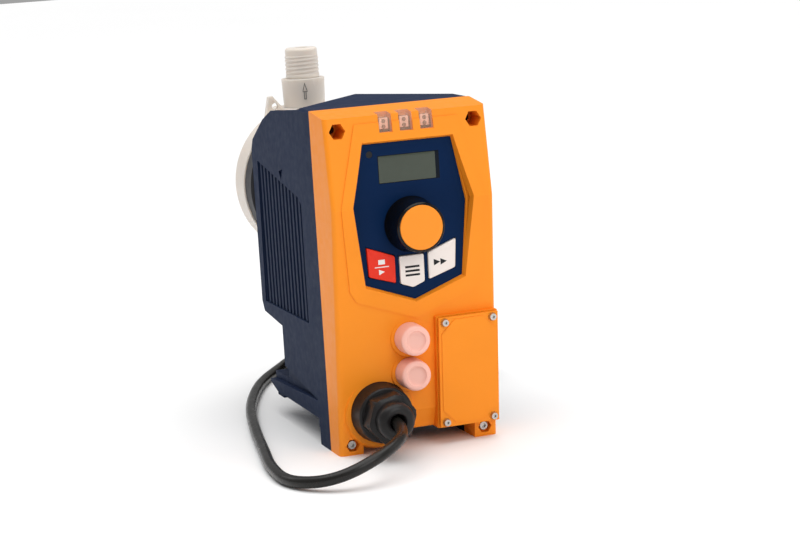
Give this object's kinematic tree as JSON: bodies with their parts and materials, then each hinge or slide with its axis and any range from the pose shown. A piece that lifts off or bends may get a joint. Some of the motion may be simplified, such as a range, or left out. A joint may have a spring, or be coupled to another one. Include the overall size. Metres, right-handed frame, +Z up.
{
  "type": "solenoid diaphragm dosing pump",
  "caption": "Compact electric metering pump: tapered two-part housing with display, knob and keys, round diaphragm head with upright valves, mains lead.",
  "frame": {"origin": "on the ground, under the middle of the object without its cord", "axes": "+Z up; the control front faces -Y; +X to the right seen from the front"},
  "size_m": [0.1985, 0.349, 0.2134],
  "materials": {
    "navy_housing": "fine textured satin",
    "orange_cover": "fine textured satin",
    "black_rubber": "matte",
    "steel": "satin",
    "black_plastic": "satin",
    "knob_black": "glossy",
    "navy_panel": "semi-gloss",
    "display_glass": "clear",
    "smoked_plastic": "translucent",
    "lamp_strip": "matte",
    "circuit_board": "satin",
    "stop_red": "satin",
    "key_white": "satin",
    "socket_black": "satin",
    "cap_white": "satin",
    "magnet_steel": "satin",
    "copper": "enamelled winding",
    "bush_bronze": "satin",
    "adapter_grey": "matte",
    "head_white": "slightly translucent satin",
    "seat_plastic": "satin",
    "ceramic": "polished ceramic",
    "cable_black": "soft satin",
    "pin_metal": "nickel plated"
  },
  "bodies": {
    "housing": {"adapter_screws": "steel", "cable_coil": "cable_black", "control_board": "circuit_board", "cover_gasket": "black_rubber", "cover_screws": "steel", "diaphragm": "black_rubber", "discharge_connector": "head_white", "discharge_seat": "seat_plastic", "discharge_valve_body": "head_white", "display_window": "display_glass", "dosing_head": "head_white", "encoder_body": "black_plastic", "fascia_panel": "navy_panel", "front_cover": "orange_cover", "gland_body": "black_plastic", "gland_nut": "black_plastic", "gland_seal": "black_rubber", "guide_bushes": "bush_bronze", "head_adapter": "adapter_grey", "head_screws": "steel", "key_switches": "black_plastic", "lcd_module": "black_plastic", "light_sensor": "smoked_plastic", "lower_socket": "socket_black", "lower_socket_cap": "cap_white", "mains_cable": "cable_black", "mains_plug": "cable_black", "plug_pins": "pin_metal", "power_board": "circuit_board", "rear_housing": "navy_housing", "return_spring": "steel", "solenoid_coil": "copper", "solenoid_yoke": "magnet_steel", "status_lamps": "lamp_strip", "status_windows": "smoked_plastic", "suction_connector": "head_white", "suction_seat": "seat_plastic", "suction_valve_body": "head_white", "terminal_block": "black_plastic", "terminal_cover": "orange_cover", "terminal_cover_screws": "steel", "terminal_seal": "black_rubber", "upper_socket": "socket_black", "upper_socket_cap": "cap_white", "valve_rings": "black_rubber"},
    "click_plunger": {"click_plunger": "black_plastic"},
    "knob": {"control_knob": "knob_black", "knob_disc": "orange_cover", "knob_shaft": "steel"},
    "stop_key": {"stop_key": "stop_red"},
    "menu_key": {"menu_key": "key_white"},
    "prime_key": {"prime_key": "key_white"},
    "armature": {"armature": "magnet_steel", "push_rod": "steel", "diaphragm_core": "adapter_grey"},
    "discharge_ball": {"discharge_ball": "ceramic"},
    "suction_ball": {"suction_ball": "ceramic"}
  },
  "joints": [
    {"name": "knob_click", "type": "slide", "parent": "housing", "child": "click_plunger", "axis": [0, 1, 0], "range_m": [0, 0.0005], "stiffness_N_per_m": 900},
    {"name": "knob_turn", "type": "hinge", "parent": "click_plunger", "child": "knob", "pos_m": [0, -0.097, 0.1259], "axis": [0, 1, 0], "continuous": true},
    {"name": "stop_press", "type": "slide", "parent": "housing", "child": "stop_key", "axis": [0, 1, 0], "range_m": [0, 0.0007], "stiffness_N_per_m": 900},
    {"name": "menu_press", "type": "slide", "parent": "housing", "child": "menu_key", "axis": [0, 1, 0], "range_m": [0, 0.0007], "stiffness_N_per_m": 900},
    {"name": "prime_press", "type": "slide", "parent": "housing", "child": "prime_key", "axis": [0, 1, 0], "range_m": [0, 0.0007], "stiffness_N_per_m": 900},
    {"name": "armature_stroke", "type": "slide", "parent": "housing", "child": "armature", "axis": [0, 1, 0], "range_m": [0, 0.00125], "stiffness_N_per_m": 4000, "deforming": ["return_spring", "diaphragm"]},
    {"name": "discharge_lift", "type": "slide", "parent": "housing", "child": "discharge_ball", "axis": [0, 0, 1], "range_m": [0, 0.0012]},
    {"name": "suction_lift", "type": "slide", "parent": "housing", "child": "suction_ball", "axis": [0, 0, 1], "range_m": [0, 0.0012]}
  ]
}
